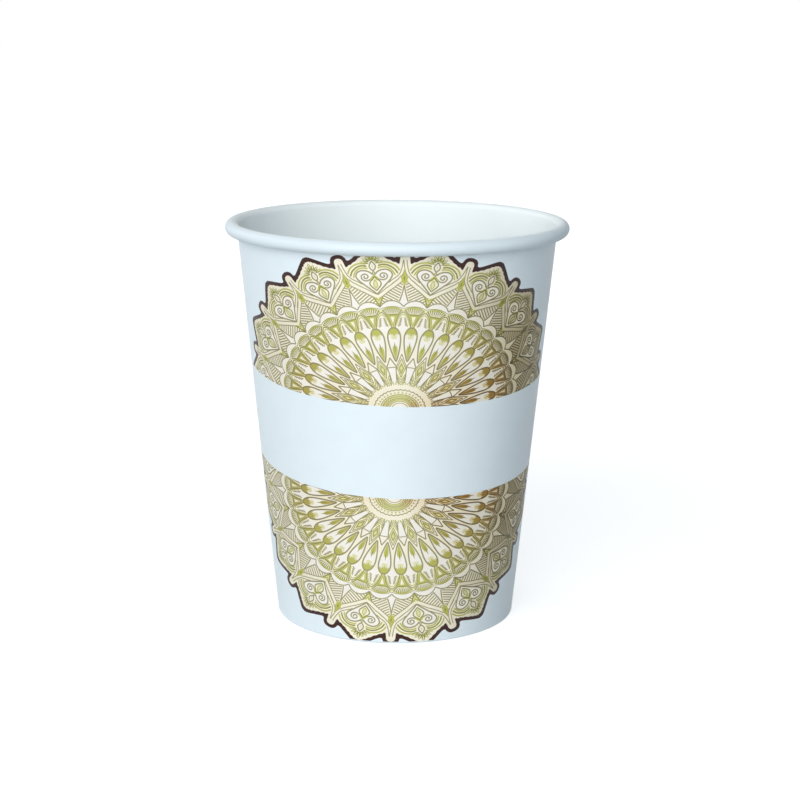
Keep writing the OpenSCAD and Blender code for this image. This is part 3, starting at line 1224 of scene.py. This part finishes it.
def cut_edges():
    """The four strips of cut board that close the mesh."""
    def printed(j, row):
        return point_index[("printed", j) + row]

    low_rows = [("low", i) for i in range(len(LOW_PATH) - 1)] + [("low",)]
    wall = [(i,) for i in range(1, SEAM_ROWS)]
    high_rows = [("high",)] + [("high", i) for i in range(1, len(ROLL))]
    rows = low_rows + wall + high_rows
    onwards = Vector((math.cos(outer_edge), math.sin(outer_edge), 0))
    for k, (low, high) in enumerate(zip(rows, rows[1:])):
        edge_face([printed(0, low), printed(LAST, low), printed(LAST, high), printed(0, high)],
                  onwards, (0, SEAM_EDGE_PAGE + k))
    backwards = -Vector((math.cos(inner_edge), math.sin(inner_edge), 0))
    for row in range(len(UNPRINTED_PATH) - 1):
        edge_face([unprinted_point(row, EDGE, False), unprinted_point(row, EDGE, True),
                   unprinted_point(row + 1, EDGE, True), unprinted_point(row + 1, EDGE, False)],
                  backwards, (10, SEAM_EDGE_PAGE + row))
    ends = ((0, low_rows[0], HEM[0], HEM[1]),
            (len(UNPRINTED_PATH) - 1, high_rows[-1], ROLL[-1], ROLL[-2]))
    for row, printed_row, (end, _), (inner, _) in ends:
        for j in range(LAST):
            outline = [unprinted_point(row, j, True), unprinted_point(row, j + 1, False)]
            if j + 1 == LAST:
                outline.append(printed(0, printed_row))
            outline += [printed(j + 1, printed_row), printed(j, printed_row)]
            if j == EDGE:
                outline.append(unprinted_point(row, EDGE, False))
            facing = around(end[0], end[1], COLUMNS[j]) - around(inner[0], inner[1], COLUMNS[j])
            edge_face(outline, facing, (j, END_EDGE_PAGE + row))


cut_edges()
print(len(faces), "faces,", len(verts), "points")

# %% [markdown]
# The finished wall
#
# The first UV map holds the flat sheet in millimetres, and every pattern of the board is drawn
# on it, so the fibres run on unstretched round the cone. The second one, OFBake, fits the whole
# board into one square, for an export that bakes the materials into a picture. Most of the
# board is plain, so the ornament's two halves get a large scale on it, and all the rest a
# small one.

# %% Places on the second UV map
# Lowest and highest corners of the two large parts on the sheet, and where they start on the map
FINE_SCALE = 1 / 97
FINE_BOXES = ((-48, 51.5, 48, 95.5, (0.005, 0.537)), (-48, -2, 48, 39, (0.005, 0.107)))
# Where the sheet's origin would lie on the map for each small part
COARSE_SCALE = 1 / 1300
COARSE_ORIGINS = {"wall": (0.11, 0.026), "unprinted": (0.35, -0.2729),
                  "low": (0.6, 0.1023), "high": (0.6, -0.0623)}
# Every face of cut board takes the same small spot
EDGE_SPOT = (0.985, 0.02)
EDGE_SPOT_R = 0.006


def page_part(places):
    """The part of the board that a face belongs to, from its corners on the flat page."""
    heights = [y for _, y in places]
    if min(heights) > UNPRINTED_PAGE - PAGE_STEP / 2:
        return "unprinted"
    if min(heights) > 0.9 * PAGE_STEP:
        return "high"
    return "low" if max(heights) < -PAGE_STEP / 2 else "wall"


def bake_places(ink, places):
    """The face's corners on the second map."""
    for x0, y0, x1, y1, (u, v) in FINE_BOXES:
        if all(x0 < x < x1 and y0 < y < y1 for x, y in places):
            return [(u + (x - x0) * FINE_SCALE, v + (y - y0) * FINE_SCALE) for x, y in places]
    if ink == "edge":
        turns = [FULL_TURN * i / len(places) for i in range(len(places))]
        return [(EDGE_SPOT[0] + EDGE_SPOT_R * math.cos(a), EDGE_SPOT[1] + EDGE_SPOT_R * math.sin(a))
                for a in turns]
    u, v = COARSE_ORIGINS[page_part(places)]
    return [(u + x * COARSE_SCALE, v + y * COARSE_SCALE) for x, y in places]


# %% [markdown]
# The golds change towards the band, less on the left than on the right, and they differ between the rings
# and the lobes. The change is partly the print's own tone and partly painted shade, which is why the right
# side, away from the key lamp, gets all of it. So each corner carries two numbers for its place in the
# ornament, which the inks mix their colours by. On the unprinted face the first number grows round the
# roll instead, and the film's colour follows it, greyer as painted shade.

# %% Places in the ornament
# Share of the full change, tone and painted shade, that the left side has, in the rings and in the lobes;
# the right side has all of it
LEFT_RINGS = 0.48
LEFT_LOBES = 0.27
# Distance from a half's centre at which the rings' colours give way to the lobes', and its run
LOBES_FROM = 24
LOBES_RUN = 6
# Degrees from a half's axis at which the change begins, and over which it runs
CHANGE_FROM = 14
RINGS_CHANGE_RUN = 65
LOBES_CHANGE_RUN = 50
# Start of the roll on the unprinted path, and the turn in radians after which it gets greyer, as painted
# shade
ROLL_START = lengths(UNPRINTED_PATH)[FIRST_ROLL]
PAINTED_SHADE_AFTER_TURN = 1.1


def clamped(value):
    """A number held between 0 and 1."""
    return min(1.0, max(0.0, value))


def ink_place(x, y):
    """How far a point lies towards the band, less on the left, and how far out in the lobes, both from 0
    to 1. The first number carries the print's tone change and painted shade. On the unprinted face it
    tells how far round the roll it lies, for the roll's painted shade."""
    if y > UNPRINTED_PAGE - PAGE_STEP / 2:
        return clamped((y - UNPRINTED_PAGE - ROLL_START) / roll_r - PAINTED_SHADE_AFTER_TURN), 0.0
    place = HALVES["upper" if y > BAND_MIDDLE_Y else "lower"]
    dx, dy = x - place["centre"][0], abs(y - place["centre"][1]) / place["squash"]
    degrees = math.degrees(math.atan2(abs(dx), dy))
    outwards = clamped((math.hypot(dx, dy) - LOBES_FROM) / LOBES_RUN)
    change_run = RINGS_CHANGE_RUN + (LOBES_CHANGE_RUN - RINGS_CHANGE_RUN) * outwards
    band_tone_and_shade = clamped((degrees - CHANGE_FROM) / change_run)
    left_share = LEFT_RINGS + (LEFT_LOBES - LEFT_RINGS) * outwards
    return band_tone_and_shade * (1 if dx > 0 else left_share), outwards


# %% [markdown]
# Now the gathered points and faces become one mesh. It rides on the cup's only body and stands for the
# plain wall of the model, which is hidden.

# %% Make the wall
def make_wall():
    """The side wall as one closed mesh with its inks, normals and maps."""
    mesh = bpy.data.meshes.new("side_wall_board")
    mesh.from_pydata([tuple(v) for v in verts], [], [f[0] for f in faces])
    for ink in INK_ORDER:
        mesh.materials.append(INKS[ink])
    mesh.polygons.foreach_set("material_index", [INK_ORDER.index(f[1]) for f in faces])
    page = mesh.uv_layers.new(name="blank")
    page.data.foreach_set("uv", [value for f in faces for place in f[3] for value in place])
    bake = mesh.uv_layers.new(name="OFBake")
    bake.data.foreach_set("uv", [v for f in faces for place in bake_places(f[1], f[3]) for v in place])
    # The first number carries the print's tone change and painted shade, the second how far out in the
    # lobes
    places = [ink_place(*place) for f in faces for place in f[3]]
    for k, name in enumerate(("band_tone_and_shade", "outwards")):
        mesh.attributes.new(name, "FLOAT", "CORNER").data.foreach_set("value", [p[k] for p in places])
    mesh.polygons.foreach_set("use_smooth", [True] * len(faces))
    mesh.normals_split_custom_set([tuple(n) for f in faces for n in f[2]])
    mesh.update()
    wall = bpy.data.objects.new("printed_side_wall", mesh)
    bpy.context.scene.collection.objects.link(wall)
    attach(wall, "root")
    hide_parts("side_wall")


make_wall()
triangle_count = sum(len(f[0]) - 2 for f in faces)
print("the wall has", triangle_count, "triangles")

# %% [markdown]
# The base disc
#
# The disc is the same board, a little thinner, with its shine on the inside. Its shape in the
# model is right as it is, so it only gets its finish.

# %% Finish the base disc
def disc_board_material():
    """Film-coated white board. Its patterns are placed by the disc's own coordinates, in metres."""
    material, output = new_material("bleached_board_disc")
    tree = material.node_tree
    place = add_node(tree, "ShaderNodeTexCoord")
    fibre = add_node(tree, "ShaderNodeTexNoise", Vector=place.outputs["Object"],
                     Scale=1 / (FIBRE_MM * MM), Detail=3.0, Roughness=0.6)
    clouds = add_node(tree, "ShaderNodeTexNoise", Vector=place.outputs["Object"],
                      Scale=1 / (CLOUD_MM * MM), Detail=4.0)
    colour = add_node(tree, "ShaderNodeMix", {"data_type": "RGBA"}, _0=clouds.outputs["Fac"],
                      _6=linear("#E6EBEE"), _7=linear("#F1F5F7"))
    gloss = add_node(tree, "ShaderNodeMapRange", Value=clouds.outputs["Fac"],
                     From_Min=0.3, From_Max=0.7, To_Min=0.42, To_Max=0.52)
    bump = add_node(tree, "ShaderNodeBump", Height=fibre.outputs["Fac"],
                    Strength=0.15, Distance=0.02 * MM)
    skin = add_node(tree, "ShaderNodeBsdfPrincipled", Base_Color=colour.outputs[2],
                    Roughness=gloss.outputs[0], IOR=FILM_IOR, Normal=bump.outputs[0])
    tree.links.new(skin.outputs[0], output.inputs["Surface"])
    return material


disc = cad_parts["base_disc"]
disc.data.materials.clear()
disc.data.materials.append(disc_board_material())
print("the disc has", len(disc.data.polygons), "faces")

# %% [markdown]
# Floor and backdrop
#
# The photograph has a pure white ground. The floor glows for the camera and for gloss, by Light
# Path, and otherwise it is a plain pale surface that takes the cup's shadow. Near the cup it
# glows a little less, so that the shadow still shows there. A weak bluish world fills the shade.

# %% Floor and world
def seen_directly(tree):
    """1 for the rays that show the ground itself: from the camera, in a gloss or through a film."""
    path = add_node(tree, "ShaderNodeLightPath")
    gloss = add_node(tree, "ShaderNodeMath", {"operation": "MAXIMUM"},
                     _0=path.outputs["Is Glossy Ray"], _1=path.outputs["Is Transmission Ray"])
    either = add_node(tree, "ShaderNodeMath", {"operation": "MAXIMUM"},
                      _0=path.outputs["Is Camera Ray"], _1=gloss.outputs[0])
    return either.outputs[0]


def stage_material():
    """A matte floor. What is seen directly glows too, more so far from the cup, so that the floor
    is white and only the cup's shadow is a faint grey."""
    material, output = new_material("studio_floor")
    tree = material.node_tree
    matte = add_node(tree, "ShaderNodeBsdfDiffuse", Color=linear("#C3C6C8"))
    place = add_node(tree, "ShaderNodeTexCoord")
    away = add_node(tree, "ShaderNodeVectorMath", {"operation": "LENGTH"}, _0=place.outputs["Object"])
    level = add_node(tree, "ShaderNodeMapRange", Value=away.outputs["Value"],
                     From_Min=0.1, From_Max=0.5, To_Min=0.72, To_Max=1.0)
    glow = add_node(tree, "ShaderNodeEmission", Color=linear("#FFFFFF"), Strength=level.outputs[0])
    lifted = add_node(tree, "ShaderNodeAddShader", _0=matte.outputs[0], _1=glow.outputs[0])
    floor_skin = add_node(tree, "ShaderNodeMixShader", _0=seen_directly(tree),
                          _1=matte.outputs[0], _2=lifted.outputs[0])
    tree.links.new(floor_skin.outputs[0], output.inputs["Surface"])
    return material


FLOOR_HALF = 3.0
floor_mesh = bpy.data.meshes.new("floor")
floor_mesh.from_pydata([(-FLOOR_HALF, -FLOOR_HALF, 0), (FLOOR_HALF, -FLOOR_HALF, 0),
                        (FLOOR_HALF, FLOOR_HALF, 0), (-FLOOR_HALF, FLOOR_HALF, 0)], [], [(0, 1, 2, 3)])
floor_mesh.materials.append(stage_material())
floor = bpy.data.objects.new("floor", floor_mesh)
bpy.context.scene.collection.objects.link(floor)

world = bpy.data.worlds.new("studio")
bpy.context.scene.world = world
world.use_nodes = True
world.node_tree.nodes.clear()
world_output = world.node_tree.nodes.new("ShaderNodeOutputWorld")
fill = add_node(world.node_tree, "ShaderNodeBackground", Color=linear("#C2DDE8"), Strength=0.22)
white = add_node(world.node_tree, "ShaderNodeBackground", Color=linear("#FFFFFF"), Strength=1.0)
sky = add_node(world.node_tree, "ShaderNodeMixShader", _0=seen_directly(world.node_tree),
               _1=fill.outputs[0], _2=white.outputs[0])
world.node_tree.links.new(sky.outputs[0], world_output.inputs["Surface"])
print("floor", 2 * FLOOR_HALF, "m across, and a world")

# %% [markdown]
# A big soft lamp at the front left lights the print and leaves the right side of the cup in a
# cool shade. A small one behind on the left keeps the left edge light, and a weak one overhead
# lights the top of the roll and the inside of the cup.

# %% Lamps
def soft_lamp(name, azimuth, elevation, distance, size, power):
    """A square white lamp that looks at the middle of the cup. Its azimuth is from the front."""
    data = bpy.data.lights.new(name, "AREA")
    data.size = size
    data.energy = power
    turn, rise = math.radians(azimuth), math.radians(elevation)
    towards = Vector((math.sin(turn) * math.cos(rise), -math.cos(turn) * math.cos(rise), math.sin(rise)))
    lamp = bpy.data.objects.new(name, data)
    lamp.location = towards * distance + Vector((0, 0, cup_h / 2 * MM))
    lamp.rotation_euler = towards.to_track_quat("Z", "Y").to_euler()
    bpy.context.scene.collection.objects.link(lamp)


soft_lamp("key_front_left", -15, 21, 1.2, 1.2, 15.8)
soft_lamp("back_left", -125, 20, 1.0, 0.5, 2.2)
soft_lamp("overhead", 0, 72, 1.0, 0.6, 1.1)
bpy.context.scene.view_settings.view_transform = "Standard"
print(len(bpy.data.lights), "lamps made")
